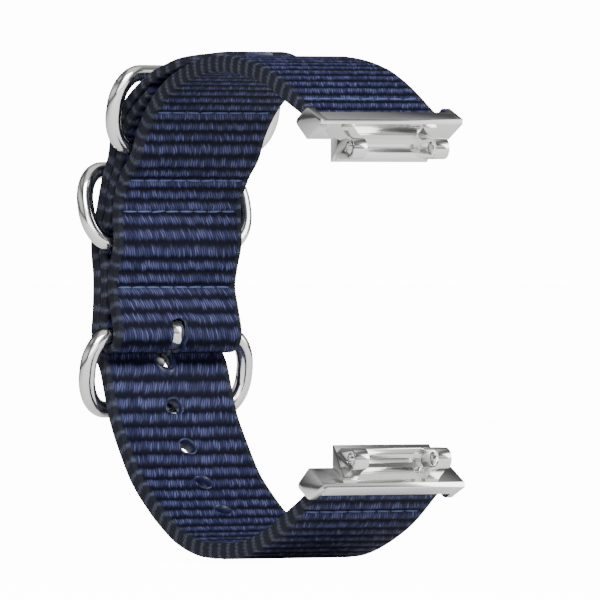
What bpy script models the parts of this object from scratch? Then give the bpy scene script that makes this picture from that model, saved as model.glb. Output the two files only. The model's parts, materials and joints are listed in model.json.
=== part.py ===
"""Two-piece woven band for a wrist fitness tracker, buckled into a loop.

The band is drawn in its side view. "depth" runs from the closure (0) towards the
tracker, "height" runs up, both in millimetres, and the width of the webbing lies
along X. place() turns such a point into the part's own frame, whose origin is the
centre of the whole band: X across the webbing, -Y towards the tracker, Z up.
"""
import math

import bmesh
import bpy
import numpy as np
from mathutils import Matrix, Vector

MM = 0.001
SMOOTH_BELOW = math.radians(32.0)

# Driving dimensions, in millimetres
WEBBING_WIDTH = 18.0
WIRE_RADIUS = 1.05          # round wire of the three rings
RING_HALF_WIDTH = 11.4      # centre line of a ring, across the band
RING_SPAN = 9.55            # between the two bars of a ring
RING_CORNER = 3.0           # a ring's rounded ends: across the band
RING_CORNER_RISE = 4.4      # and along it
TONGUE_WIDTH = 1.9
TONGUE_THICKNESS = 0.8
HOLE_RADIUS = 1.1
HOLE_PITCH = 6.2
HOLE_IN_USE = (-3.8, -7.6)
HOLE_DRAWN = 0.75          # how far the tongue has drawn the hole in use out of round
CAP_HALF_WIDTH = 10.1       # outside of an adapter's end cap
CAP_INSIDE = 9.25           # inside of an adapter's end cap
PIN_RADIUS = 0.60
PIN_LENGTH = 15.6
PIN_BORE = 0.45
TIP_RADIUS = 0.28
TIP_HEAD_RADIUS = 0.41
TIP_ENTRY = 0.50            # how far a tip reaches into the end cap
THREAD = 0.34

# Where the side view's zero lies against the centre of the band
DEPTH_CENTRE = 25.38
HEIGHT_CENTRE = -0.58

# Ridge of each adapter: the front edge that faces the tracker
UPPER_RIDGE = (54.1, 22.4)
LOWER_RIDGE = (54.6, -22.9)
PIN_FROM_RIDGE = (-3.5, -0.35)
EYE_FROM_RIDGE = (1.0, -3.6)
EYE_RADIUS = 0.83
BARREL_RADIUS = 1.35
LUG_OUTSIDE = 6.8
LUG_INSIDE = 4.9

HINGE_BAR = (-1.55, -4.6)   # the buckle ring's bar inside the fold

# Centre line of the short strap: depth, height, thickness. It runs from the end
# of its turned-back layer, down to the fold, up again and over to the adapter.
TURNED_BACK = [(9.15, 26.3, 0.9), (6.9, 24.95, 1.1), (3.9, 22.85, 1.4), (1.6, 20.25, 1.4),
               (0.95, 17.3, 1.4), (-0.45, 14.9, 1.4), (-1.5, 12.6, 1.4), (-1.9, 10.7, 1.4),
               (-3.2, 8.1, 1.4), (-3.45, 6.3, 1.4), (-3.0, 4.0, 1.4), (-2.95, 1.5, 1.4),
               (-3.05, -1.4, 1.4)]
FOLD = [(180, 1.94, 1.4), (225, 1.86, 1.25), (270, 1.77, 1.1), (315, 1.90, 1.3), (360, 2.10, 1.8)]
MAIN_LAYER = [(-0.2, -1.6, 1.8), (-1.1, 1.5, 1.8), (-0.45, 4.2, 1.8), (0.52, 6.9, 1.8),
              (0.3, 10.6, 1.8), (0.75, 13.0, 1.8), (2.5, 15.6, 1.8), (5.0, 18.0, 1.8),
              (6.6, 20.9, 1.9), (9.8, 24.3, 2.0), (13.7, 26.7, 2.1), (17.8, 28.15, 2.1),
              (22.5, 29.1, 2.1), (28.5, 29.35, 2.1), (37.4, 27.9, 2.1), (43.2, 25.6, 2.1),
              (47.0, 23.8, 1.55), (48.8, 22.92, 1.3)]

# Centre line of the long strap: depth, height, thickness, width. It runs from its
# tip, down outside the short strap, through the buckle and round to the adapter.
LONG_STRAP = [(21.2, 30.6, 0.9, 4.0), (20.4, 30.5, 1.1, 9.0), (18.6, 30.15, 1.3, 13.5),
              (16.3, 29.7, 1.4, 17.0), (13.0, 28.85, 1.4, 18.0), (9.6, 27.95, 1.35, 18.0),
              (6.0, 26.34, 1.4, 18.0), (2.6, 24.05, 1.7, 18.0), (-0.05, 20.9, 1.8, 18.0),
              (-0.95, 17.75, 1.8, 18.0), (-2.6, 14.8, 1.8, 18.0), (-3.95, 11.1, 1.8, 18.0),
              (-5.2, 7.8, 1.8, 18.0), (-5.2, 5.6, 1.8, 18.0), (-4.8, 3.4, 1.8, 18.0),
              (-4.75, 0.5, 1.8, 18.0), (-4.95, -2.2, 1.8, 18.0), (-5.2, -4.4, 1.8, 18.0),
              (-4.55, -6.7, 1.8, 18.0), (-3.15, -8.6, 1.8, 18.0), (-2.15, -11.1, 1.8, 18.0),
              (-1.35, -13.2, 1.8, 18.0), (-0.3, -15.4, 1.9, 18.0), (1.9, -18.6, 2.1, 18.0),
              (5.2, -22.6, 2.1, 18.0), (8.6, -25.3, 2.1, 18.0), (11.9, -27.45, 2.1, 18.0),
              (16.1, -29.55, 2.1, 18.0), (21.2, -30.9, 2.1, 18.0), (26.5, -31.15, 2.1, 18.0),
              (32.4, -30.75, 2.1, 18.0), (37.9, -29.25, 2.1, 18.0), (43.6, -26.85, 2.1, 18.0),
              (47.5, -24.75, 1.55, 18.0), (49.4, -23.6, 1.3, 18.0)]

# The three rings: centre of the bar that sits in the webbing, and the direction
# to the bar that lies outside it (depth, height).
BUCKLE_SLOPE = (-0.19, -0.982)
LOWER_KEEPER_BAR = (-1.58, 7.05)
LOWER_KEEPER_SLOPE = (-0.266, 0.964)
UPPER_KEEPER_BAR = (3.3, 19.2)
UPPER_KEEPER_SLOPE = (0.262, 0.965)

# Seams through both layers of the short strap: centre between the layers,
# lean from the vertical in degrees, thickness of webbing that they go through.
SEAMS = {
    "seam_thread_fold": ((-1.95, 1.5), 2.0, 3.45),
    "seam_thread_middle": ((-0.7, 10.9), -4.0, 3.75),
    "seam_thread_arch": ((1.55, 16.05), 42.0, 3.78),
    "seam_thread_top": ((8.87, 24.68), 51.0, 3.66),
    "seam_thread_upper_loop": ((46.0, 24.3), 115.0, 1.75),
    "seam_thread_lower_loop": ((46.4, -25.35), 61.0, 1.75),
}

NAVY = (0.030, 0.045, 0.125, 1.0)
THREAD_NAVY = (0.050, 0.070, 0.170, 1.0)
STEEL = (0.80, 0.80, 0.79, 1.0)
SPRING_STEEL = (0.55, 0.55, 0.56, 1.0)


def place(x, depth, height):
    """A point of the side view, x millimetres across, in the part's frame."""
    return Vector((x, DEPTH_CENTRE - depth, height - HEIGHT_CENTRE)) * MM


def shifted(point, offset, flip=1.0):
    """The side-view point plus an offset whose height may be mirrored."""
    return (point[0] + offset[0], point[1] + offset[1] * flip)


def clear_scene():
    for old in list(bpy.data.objects):
        bpy.data.objects.remove(old, do_unlink=True)


def make_material(name, colour, metallic, roughness):
    material = bpy.data.materials.new(name)
    material.use_nodes = True
    shader = material.node_tree.nodes["Principled BSDF"]
    shader.inputs["Base Color"].default_value = colour
    shader.inputs["Metallic"].default_value = metallic
    shader.inputs["Roughness"].default_value = roughness
    return material


def link(name, mesh, colour, metallic, roughness):
    """Put a mesh into the scene as a node with a material of its own."""
    mesh.materials.append(make_material(name + "_finish", colour, metallic, roughness))
    node = bpy.data.objects.new(name, mesh)
    bpy.context.collection.objects.link(node)
    return node


def cutter(mesh):
    """Put a mesh into the scene as a hidden cutting shape."""
    tool = bpy.data.objects.new("tool", mesh)
    tool.hide_render = True
    tool.display_type = "WIRE"
    bpy.context.collection.objects.link(tool)
    return tool


def boolean(node, mesh, operation):
    step = node.modifiers.new(operation.lower(), "BOOLEAN")
    step.operation = operation
    step.solver = "EXACT"
    step.object = cutter(mesh)


def move_origin(node, position):
    """Give the node its origin at a world position without moving its shape."""
    node.data.transform(Matrix.Translation(-position))
    node.location = position


def catmull_rom(points, per_span=12):
    """Points along a centripetal Catmull-Rom curve through rows of numbers."""
    rows = np.array(points, dtype=float)
    first = 2.0 * rows[0] - rows[1]
    last = 2.0 * rows[-1] - rows[-2]
    rows = np.vstack([first, rows, last])
    curve = []
    for index in range(1, len(rows) - 2):
        near = rows[index - 1:index + 3]
        chords = np.linalg.norm(np.diff(near[:, :2], axis=0), axis=1)
        knots = np.concatenate([[0.0], np.cumsum(np.sqrt(chords))])
        for position in np.linspace(knots[1], knots[2], per_span, endpoint=False):
            curve.append(barry_goldman(near, knots, position))
    curve.append(rows[-2])
    return np.array(curve)


def barry_goldman(rows, knots, position):
    """One point of the curve between the two middle rows."""
    spans = [(0, 1), (1, 2), (2, 3)]
    first = [mix(rows[i], rows[j], knots[i], knots[j], position) for i, j in spans]
    second = [mix(first[0], first[1], knots[0], knots[2], position),
              mix(first[1], first[2], knots[1], knots[3], position)]
    return mix(second[0], second[1], knots[1], knots[2], position)


def mix(one, two, low, high, position):
    share = (position - low) / (high - low)
    return one * (1.0 - share) + two * share


def even_steps(curve, step):
    """The curve read again at even steps along its length."""
    lengths = np.linalg.norm(np.diff(curve[:, :2], axis=0), axis=1)
    travelled = np.concatenate([[0.0], np.cumsum(lengths)])
    count = max(2, int(round(travelled[-1] / step)))
    wanted = np.linspace(0.0, travelled[-1], count + 1)
    columns = [np.interp(wanted, travelled, curve[:, k]) for k in range(curve.shape[1])]
    return np.stack(columns, axis=1)


def side_normals(curve):
    """Unit normals of the side-view curve, to the left of its direction."""
    direction = np.gradient(curve[:, :2], axis=0)
    direction /= np.linalg.norm(direction, axis=1)[:, None]
    return np.stack([-direction[:, 1], direction[:, 0]], axis=1)


def finish(bm, name):
    """Turn a bmesh into a mesh with its faces pointing out."""
    bmesh.ops.recalc_face_normals(bm, faces=bm.faces)
    mesh = bpy.data.meshes.new(name)
    bm.to_mesh(mesh)
    bm.free()
    mesh.shade_smooth()
    mesh.set_sharp_from_angle(angle=SMOOTH_BELOW)
    return mesh


def strip_mesh(name, stations):
    """A ribbon of rectangular sections: rows of depth, height, thickness, width."""
    bm = bmesh.new()
    rings = []
    for row, normal in zip(stations, side_normals(stations)):
        half = 0.5 * row[2]
        left = (row[0] + normal[0] * half, row[1] + normal[1] * half)
        right = (row[0] - normal[0] * half, row[1] - normal[1] * half)
        edge = 0.5 * row[3]
        corners = [(-edge, left), (edge, left), (edge, right), (-edge, right)]
        rings.append([bm.verts.new(place(x, *point)) for x, point in corners])
    for one, two in zip(rings, rings[1:]):
        for k in range(4):
            bm.faces.new((one[k], one[(k + 1) % 4], two[(k + 1) % 4], two[k]))
    bm.faces.new(rings[0])
    bm.faces.new(list(reversed(rings[-1])))
    return finish(bm, name)


def prism_mesh(name, outline, low_x, high_x):
    """A side-view outline pulled across from low_x to high_x."""
    bm = bmesh.new()
    near = [bm.verts.new(place(low_x, *point)) for point in outline]
    far = [bm.verts.new(place(high_x, *point)) for point in outline]
    count = len(outline)
    for k in range(count):
        bm.faces.new((near[k], near[(k + 1) % count], far[(k + 1) % count], far[k]))
    bm.faces.new(list(reversed(near)))
    bm.faces.new(far)
    return finish(bm, name)


def arc(centre, radius, start, end, count):
    """Points of an arc in the side view, angles in degrees from +depth to +height."""
    turns = [math.radians(start + (end - start) * k / count) for k in range(count + 1)]
    return [(centre[0] + radius * math.cos(a), centre[1] + radius * math.sin(a)) for a in turns]


def disc_mesh(name, centre, radius, low_x, high_x, sides=24):
    return prism_mesh(name, arc(centre, radius, 0.0, 360.0, sides)[:-1], low_x, high_x)


def turned_mesh(name, centre, profile, sides=16):
    """A profile of (x, radius) turned about the cross axis through centre."""
    bm = bmesh.new()
    rings = []
    for x, radius in profile:
        circle = arc(centre, radius, 0.0, 360.0, sides)[:-1]
        rings.append([bm.verts.new(place(x, *point)) for point in circle])
    closed = list(zip(rings, rings[1:] + rings[:1]))
    for one, two in closed:
        for k in range(sides):
            bm.faces.new((one[k], one[(k + 1) % sides], two[(k + 1) % sides], two[k]))
    return finish(bm, name)


def solid_turned_mesh(name, centre, profile, sides=16):
    """As turned_mesh, for a solid piece whose two ends are flat discs."""
    bm = bmesh.new()
    rings = []
    for x, radius in profile:
        circle = arc(centre, radius, 0.0, 360.0, sides)[:-1]
        rings.append([bm.verts.new(place(x, *point)) for point in circle])
    for one, two in zip(rings, rings[1:]):
        for k in range(sides):
            bm.faces.new((one[k], one[(k + 1) % sides], two[(k + 1) % sides], two[k]))
    bm.faces.new(rings[0])
    bm.faces.new(list(reversed(rings[-1])))
    return finish(bm, name)


def short_strap_stations():
    """Turned-back layer, fold round the hinge bar, and main layer as one curve."""
    fold = []
    for angle, radius, thickness in FOLD:
        point = arc(HINGE_BAR, radius, angle, angle, 1)[0]
        fold.append((point[0], point[1], thickness))
    curve = catmull_rom(TURNED_BACK + fold + MAIN_LAYER)
    stations = even_steps(curve, 0.9)
    width = np.full((len(stations), 1), WEBBING_WIDTH)
    return np.hstack([stations, width])


def pin_loop(node, pin):
    """The end of the webbing, closed round the spring bar."""
    half = 0.5 * WEBBING_WIDTH
    boolean(node, disc_mesh("loop", pin, 1.13, -half, half, 28), "UNION")
    boolean(node, disc_mesh("tunnel", pin, PIN_RADIUS + 0.08, -half - 1.0, half + 1.0), "DIFFERENCE")


def loop_stations(stations, pin):
    """The stations led on to the spring bar's centre."""
    thickness = stations[-1][2]
    return np.vstack([stations, [pin[0], pin[1], thickness, WEBBING_WIDTH]])


def thread_mesh(name, centre, lean, stack, spare):
    """A closed loop of thread round the stacked layers, seen along the band as a frame.

    spare widens the same shape into the cutter that makes its groove and holes.
    """
    angle = math.radians(lean)
    through = (-math.cos(angle), math.sin(angle))
    along = (math.sin(angle), math.cos(angle))
    bm = bmesh.new()
    half_x = 0.5 * WEBBING_WIDTH - 0.9
    outer = (half_x + spare, 0.5 * stack + 0.02 + spare)
    inner = (half_x - THREAD - spare, 0.5 * stack + 0.02 - THREAD - spare)
    rings = []
    for side in (-1.0, 1.0):
        shift = side * (0.5 * THREAD + spare)
        for reach in (outer, inner):
            corners = []
            for sx, sn in ((-1, -1), (1, -1), (1, 1), (-1, 1)):
                depth = centre[0] + through[0] * reach[1] * sn + along[0] * shift
                height = centre[1] + through[1] * reach[1] * sn + along[1] * shift
                corners.append(bm.verts.new(place(reach[0] * sx, depth, height)))
            rings.append(corners)
    order = [rings[0], rings[1], rings[3], rings[2]]
    for one, two in zip(order, order[1:] + order[:1]):
        for k in range(4):
            bm.faces.new((one[k], one[(k + 1) % 4], two[(k + 1) % 4], two[k]))
    return finish(bm, name)


def make_seams(strap, names):
    for name in names:
        centre, lean, stack = SEAMS[name]
        boolean(strap, thread_mesh("groove", centre, lean, stack, 0.07), "DIFFERENCE")
        thread = thread_mesh(name, centre, lean, stack, 0.0)
        link(name, thread, THREAD_NAVY, 0.0, 0.75)


def make_short_strap():
    pin = shifted(UPPER_RIDGE, PIN_FROM_RIDGE)
    stations = loop_stations(short_strap_stations(), pin)
    strap = link("short_strap", strip_mesh("short_strap", stations), NAVY, 0.0, 0.7)
    pin_loop(strap, pin)
    slot = [(1.8, -1.9), (-4.6, -1.9), (-4.6, -7.6), (1.8, -7.6)]
    boolean(strap, prism_mesh("tongue_slot", slot, -1.15, 1.15), "DIFFERENCE")
    names = [name for name in SEAMS if name != "seam_thread_lower_loop"]
    make_seams(strap, names)


def punch_mesh(stations, centre_index, stretch):
    """A round or stretched punch straight through the webbing at a station."""
    row = stations[centre_index]
    normal = side_normals(stations)[centre_index]
    middle = place(0.0, row[0], row[1])
    across = (place(0.0, row[0] + normal[0], row[1] + normal[1]) - middle).normalized()
    sideways = Vector((1.0, 0.0, 0.0))
    along = across.cross(sideways)
    bm = bmesh.new()
    sides = 16
    ends = []
    for end in (-2.0, 2.0):
        ring = []
        for k in range(sides):
            turn = math.tau * k / sides
            x = sideways * math.cos(turn) * HOLE_RADIUS
            y = along * (math.sin(turn) * HOLE_RADIUS + math.copysign(stretch, math.sin(turn)))
            ring.append(bm.verts.new(middle + (x + y + across * end) * MM))
        ends.append(ring)
    for k in range(sides):
        bm.faces.new((ends[0][k], ends[0][(k + 1) % sides], ends[1][(k + 1) % sides], ends[1][k]))
    bm.faces.new(ends[0])
    bm.faces.new(list(reversed(ends[1])))
    return finish(bm, "punch")


def make_long_strap():
    pin = shifted(LOWER_RIDGE, PIN_FROM_RIDGE, -1.0)
    stations = even_steps(catmull_rom(LONG_STRAP), 0.9)
    strap = link("long_strap", strip_mesh("long_strap", loop_stations(stations, pin)), NAVY, 0.0, 0.7)
    pin_loop(strap, pin)
    fine = even_steps(catmull_rom(LONG_STRAP), 0.05)
    in_use = int(np.argmin(np.linalg.norm(fine[:, :2] - np.array(HOLE_IN_USE), axis=1)))
    step = np.linalg.norm(fine[1, :2] - fine[0, :2])
    for number in range(-3, 5):
        drawn = HOLE_DRAWN if number == 0 else 0.0
        travel = number * HOLE_PITCH + HOLE_DRAWN - drawn
        index = in_use + int(round(travel / step))
        boolean(strap, punch_mesh(fine, index, drawn), "DIFFERENCE")
    make_seams(strap, ["seam_thread_lower_loop"])


def ring_points(bar, slope):
    """Centre line of a ring: two straight bars joined by rounded ends."""
    reach = RING_HALF_WIDTH - RING_CORNER
    rise = 0.5 * RING_SPAN - RING_CORNER_RISE
    middle = 0.5 * RING_SPAN
    points = []
    for sx, sy, start in ((1, 1, 0), (-1, 1, 90), (-1, -1, 180), (1, -1, 270)):
        for k in range(7):
            turn = math.radians(start + 15.0 * k)
            x = sx * reach + RING_CORNER * math.cos(turn)
            along = middle + sy * rise + RING_CORNER_RISE * math.sin(turn)
            points.append(place(x, bar[0] + slope[0] * along, bar[1] + slope[1] * along))
    return points


def make_ring(name, bar, slope):
    curve = bpy.data.curves.new(name, "CURVE")
    curve.dimensions = "3D"
    curve.bevel_depth = WIRE_RADIUS * MM
    curve.bevel_resolution = 3
    spline = curve.splines.new("POLY")
    points = ring_points(bar, slope)
    origin = place(0.0, *bar)
    spline.points.add(len(points) - 1)
    for target, point in zip(spline.points, points):
        target.co = (*(point - origin), 1.0)
    spline.use_cyclic_u = True
    ring = bpy.data.objects.new(name, curve)
    ring.location = origin
    curve.materials.append(make_material(name + "_finish", STEEL, 1.0, 0.14))
    bpy.context.collection.objects.link(ring)


def make_tongue():
    """Flat tongue bent round the hinge bar, out through the strap, onto the ring."""
    eye = shifted(HINGE_BAR, (0.05, 0.25))
    radius = 1.35 + 0.5 * TONGUE_THICKNESS
    eye_points = [(p[0], p[1]) for p in arc(eye, radius, 205.0, -115.0, 12)]
    shaft = [(-3.35, -6.85), (-4.75, -8.25), (-5.55, -9.9), (-5.75, -12.0), (-5.72, -14.2)]
    tip = [(-5.45, -15.6)]
    rows = [(d, h, TONGUE_THICKNESS, TONGUE_WIDTH) for d, h in eye_points + shaft]
    rows += [(d, h, 0.55, 1.5) for d, h in tip]
    stations = even_steps(catmull_rom(rows, 8), 0.6)
    tongue = link("buckle_tongue", strip_mesh("buckle_tongue", stations), STEEL, 1.0, 0.16)
    move_origin(tongue, place(0.0, *HINGE_BAR))


def adapter_outline(ridge, flip, points):
    return [shifted(ridge, point, flip) for point in points]


def make_adapter(name, ridge, flip):
    """Trough for the spring bar with end caps, and the lugs that the tracker takes."""
    pin_hole = arc(PIN_FROM_RIDGE, 1.27, 45.0, -168.0, 14)
    trough = [(-1.75, 0.85), (0.0, 0.0), (-0.12, -0.65), (-3.5, -2.5), (-5.9, -1.1),
              (-6.1, -0.7), (-5.85, -0.45)] + list(reversed(pin_hole))
    cap = [(-3.25, 1.35), (0.0, 0.0), (-0.12, -0.65), (-3.5, -2.5), (-5.9, -0.75), (-6.15, -0.35),
           (-5.95, 0.05), (-3.75, 1.3)]
    saddle = [(-3.4, -2.0), (-3.4, -5.3), (-3.1, -5.3), (-2.4, -4.4), (-1.8, -4.85), (-1.7, -4.1),
              (-2.0, -3.65), (-1.95, -3.1), (-1.4, -2.5), (-2.1, -2.15), (-2.5, -1.6)]
    barrel = arc(EYE_FROM_RIDGE, BARREL_RADIUS, -95.0, 88.0, 12)
    lug = [(-3.4, -2.0), (-3.4, -5.3), (-3.1, -5.3), (-2.4, -4.4), (-1.3, -4.95)] + barrel
    lug += [(0.45, -1.95), (-0.25, -1.5), (-0.9, -0.95)]
    parts = [prism_mesh("trough", adapter_outline(ridge, flip, trough), -CAP_INSIDE, CAP_INSIDE)]
    for side in (-1, 1):
        low, high = sorted((side * (CAP_INSIDE - 0.02), side * CAP_HALF_WIDTH))
        parts.append(prism_mesh("cap", adapter_outline(ridge, flip, cap), low, high))
        low, high = sorted((side * LUG_INSIDE, side * LUG_OUTSIDE))
        parts.append(prism_mesh("lug", adapter_outline(ridge, flip, lug), low, high))
    parts.append(prism_mesh("saddle", adapter_outline(ridge, flip, saddle), -LUG_INSIDE - 0.02,
                            LUG_INSIDE + 0.02))
    adapter = link(name, parts[0], STEEL, 1.0, 0.18)
    for piece in parts[1:]:
        boolean(adapter, piece, "UNION")
    eye = shifted(ridge, EYE_FROM_RIDGE, flip)
    boolean(adapter, disc_mesh("eye", eye, EYE_RADIUS, -8.0, 8.0), "DIFFERENCE")
    pin = shifted(ridge, PIN_FROM_RIDGE, flip)
    seat = CAP_INSIDE + TIP_ENTRY + 0.05
    boolean(adapter, disc_mesh("tip_seats", pin, TIP_RADIUS + 0.04, -seat, seat, 16), "DIFFERENCE")
    move_origin(adapter, place(0.0, *pin))


def make_spring_bar(prefix, pin):
    """Tube, two sprung tips and the coil between them."""
    half = 0.5 * PIN_LENGTH
    lip = TIP_RADIUS + 0.04
    outside = [(-half, lip), (-half, PIN_RADIUS - 0.1), (-half + 0.1, PIN_RADIUS),
               (half - 0.1, PIN_RADIUS), (half, PIN_RADIUS - 0.1), (half, lip)]
    inside = [(half - 0.3, lip), (half - 0.3, PIN_BORE), (0.3 - half, PIN_BORE), (0.3 - half, lip)]
    tube = turned_mesh(prefix + "_pin_tube", pin, outside + inside)
    link(prefix + "_pin_tube", tube, STEEL, 1.0, 0.3)
    for side, word in ((-1, "left"), (1, "right")):
        name = prefix + "_pin_tip_" + word
        reach = CAP_INSIDE + TIP_ENTRY
        head = half - 0.35
        profile = [(head - 1.6, TIP_HEAD_RADIUS), (head, TIP_HEAD_RADIUS), (head, TIP_RADIUS),
                   (reach - 0.1, TIP_RADIUS), (reach, TIP_RADIUS - 0.1)]
        profile = [(side * x, radius) for x, radius in profile]
        tip = link(name, solid_turned_mesh(name, pin, profile), STEEL, 1.0, 0.25)
        move_origin(tip, place(side * half, *pin))
    make_coil(prefix + "_pin_spring", pin, half - 0.35 - 1.6 - 0.03)


def make_coil(name, pin, reach):
    """Compression spring: a helix of round wire with closed ends."""
    turns = 13
    per_turn = 9
    wire = 0.07
    radius = 0.33
    curve = bpy.data.curves.new(name, "CURVE")
    curve.dimensions = "3D"
    curve.bevel_depth = wire * MM
    curve.bevel_resolution = 0
    curve.use_fill_caps = True
    spline = curve.splines.new("POLY")
    count = turns * per_turn
    spline.points.add(count)
    for k, point in enumerate(spline.points):
        turn = math.tau * k / per_turn
        x = (reach - wire) * (2.0 * k / count - 1.0)
        position = place(x, pin[0] + radius * math.cos(turn), pin[1] + radius * math.sin(turn))
        point.co = (*position, 1.0)
    node = bpy.data.objects.new(name, curve)
    curve.materials.append(make_material(name + "_finish", SPRING_STEEL, 1.0, 0.3))
    bpy.context.collection.objects.link(node)


def main():
    clear_scene()
    make_short_strap()
    make_long_strap()
    make_ring("buckle_ring", HINGE_BAR, BUCKLE_SLOPE)
    make_ring("keeper_ring_lower", LOWER_KEEPER_BAR, LOWER_KEEPER_SLOPE)
    make_ring("keeper_ring_upper", UPPER_KEEPER_BAR, UPPER_KEEPER_SLOPE)
    make_tongue()
    for prefix, ridge, flip in (("upper", UPPER_RIDGE, 1.0), ("lower", LOWER_RIDGE, -1.0)):
        make_adapter(prefix + "_adapter", ridge, flip)
        make_spring_bar(prefix, shifted(ridge, PIN_FROM_RIDGE, flip))


main()
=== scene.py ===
"""Woven two-piece band for a wrist tracker: its looks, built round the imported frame.

The band is drawn in its side view, in millimetres. "depth" runs from the closure (0)
towards the tracker and "height" runs up. place() turns such a point into the frame's
metres: X across the webbing, -Y towards the tracker, Z up.
"""

import json
import math

import bmesh
import bpy
import numpy as np
from bpy.props import FloatProperty, FloatVectorProperty, IntProperty, PointerProperty
from mathutils import Matrix, Vector


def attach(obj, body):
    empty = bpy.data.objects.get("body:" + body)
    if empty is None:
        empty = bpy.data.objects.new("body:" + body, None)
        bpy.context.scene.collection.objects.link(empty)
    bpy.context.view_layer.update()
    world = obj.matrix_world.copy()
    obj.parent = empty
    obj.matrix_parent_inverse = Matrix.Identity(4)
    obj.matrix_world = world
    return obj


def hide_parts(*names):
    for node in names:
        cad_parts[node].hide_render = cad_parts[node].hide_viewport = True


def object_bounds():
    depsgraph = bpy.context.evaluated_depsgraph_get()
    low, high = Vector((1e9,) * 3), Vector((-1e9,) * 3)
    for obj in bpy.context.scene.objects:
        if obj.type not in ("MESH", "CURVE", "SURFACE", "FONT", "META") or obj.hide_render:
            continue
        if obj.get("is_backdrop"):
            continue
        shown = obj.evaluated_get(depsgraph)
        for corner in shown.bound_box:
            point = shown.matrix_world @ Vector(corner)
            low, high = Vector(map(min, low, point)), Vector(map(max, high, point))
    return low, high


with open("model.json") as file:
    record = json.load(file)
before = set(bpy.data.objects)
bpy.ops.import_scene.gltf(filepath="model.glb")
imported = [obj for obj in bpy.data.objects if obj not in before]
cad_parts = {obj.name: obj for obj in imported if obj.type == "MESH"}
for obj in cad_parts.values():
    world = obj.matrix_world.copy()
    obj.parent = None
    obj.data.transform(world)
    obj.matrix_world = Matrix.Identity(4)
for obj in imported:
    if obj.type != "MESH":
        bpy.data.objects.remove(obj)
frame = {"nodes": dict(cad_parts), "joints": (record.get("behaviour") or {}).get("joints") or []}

bl_info = {
    "name": "Woven tracker band",
    "version": (1, 0, 0),
    "blender": (4, 5, 0),
    "location": "View3D > Sidebar > Band",
    "description": "Builds a woven wrist band with wire rings and polished tracker ends",
    "category": "Object",
}

MM = 0.001
BAND_BODY = "band"
UPPER_END_BODY = "upper_end"
LOWER_END_BODY = "lower_end"
JOINTS = {joint["name"]: joint for joint in frame["joints"]}

# The side view's zero against the centre of the band
DEPTH_CENTRE = 25.38
HEIGHT_CENTRE = -0.58
WEBBING_WIDTH = 18.0
SIDEWAYS = Vector((1.0, 0.0, 0.0))

# Short strap: depth, height, thickness, from the end of its turned-back layer
TURNED_BACK = [(9.15, 26.3, 0.9), (6.9, 24.95, 1.1), (3.9, 22.85, 1.4), (1.6, 20.25, 1.4),
               (0.95, 17.3, 1.4), (-0.45, 14.9, 1.4), (-1.5, 12.6, 1.4), (-1.9, 10.7, 1.4),
               (-3.2, 8.1, 1.4), (-3.45, 6.3, 1.4), (-3.0, 4.0, 1.4), (-2.95, 1.5, 1.4),
               (-3.05, -1.4, 1.4)]
# Its fold round the buckle's bar: angle in degrees, radius, thickness
FOLD = [(180, 1.94, 1.4), (225, 1.86, 1.25), (270, 1.77, 1.1), (315, 1.90, 1.3), (360, 2.10, 1.8)]
MAIN_LAYER = [(-0.2, -1.6, 1.8), (-1.1, 1.5, 1.8), (-0.45, 4.2, 1.8), (0.52, 6.9, 1.8),
              (0.3, 10.6, 1.8), (0.75, 13.0, 1.8), (2.5, 15.6, 1.8), (5.0, 18.0, 1.8),
              (6.6, 20.9, 1.9), (9.8, 24.3, 2.0), (13.7, 26.7, 2.1), (17.8, 28.15, 2.1),
              (22.5, 29.1, 2.1), (28.5, 29.35, 2.1), (37.4, 27.9, 2.1), (43.2, 25.6, 2.1),
              (47.0, 23.8, 1.55), (48.8, 22.92, 1.3)]

# Long strap: depth, height, thickness, width, from its tip to the lower end piece
LONG_STRAP = [(21.2, 30.6, 0.9, 4.0), (20.4, 30.5, 1.1, 9.0), (18.6, 30.15, 1.3, 13.5),
              (16.3, 29.7, 1.4, 17.0), (13.0, 28.85, 1.4, 18.0), (9.6, 27.95, 1.35, 18.0),
              (6.0, 26.34, 1.4, 18.0), (2.6, 24.05, 1.7, 18.0), (-0.05, 20.9, 1.8, 18.0),
              (-0.95, 17.75, 1.8, 18.0), (-2.6, 14.8, 1.8, 18.0), (-3.95, 11.1, 1.8, 18.0),
              (-5.2, 7.8, 1.8, 18.0), (-5.2, 5.6, 1.8, 18.0), (-4.8, 3.4, 1.8, 18.0),
              (-4.75, 0.5, 1.8, 18.0), (-4.95, -2.2, 1.8, 18.0), (-5.2, -4.4, 1.8, 18.0),
              (-4.55, -6.7, 1.8, 18.0), (-3.15, -8.6, 1.8, 18.0), (-2.15, -11.1, 1.8, 18.0),
              (-1.35, -13.2, 1.8, 18.0), (-0.3, -15.4, 1.9, 18.0), (1.9, -18.6, 2.1, 18.0),
              (5.2, -22.6, 2.1, 18.0), (8.6, -25.3, 2.1, 18.0), (11.9, -27.45, 2.1, 18.0),
              (16.1, -29.55, 2.1, 18.0), (21.2, -30.9, 2.1, 18.0), (26.5, -31.15, 2.1, 18.0),
              (32.4, -30.75, 2.1, 18.0), (37.9, -29.25, 2.1, 18.0), (43.6, -26.85, 2.1, 18.0),
              (47.5, -24.75, 1.55, 18.0), (49.4, -23.6, 1.3, 18.0)]
PUNCH_IN_USE = (-3.8, -7.6)
PUNCHES_ABOVE = 3
PUNCHES_BELOW = 4

# Seams: centre between the faces, lean from the vertical in degrees, thickness sewn through
SEAMS = {
    "seam_thread_fold": ((-1.95, 1.5), 2.0, 3.45),
    "seam_thread_middle": ((-0.7, 10.9), -4.0, 3.75),
    "seam_thread_arch": ((1.55, 16.05), 42.0, 3.78),
    "seam_thread_top": ((8.87, 24.68), 51.0, 3.66),
    "seam_thread_upper_loop": ((46.0, 24.3), 115.0, 1.75),
    "seam_thread_lower_loop": ((46.4, -25.35), 61.0, 1.75),
}

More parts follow.
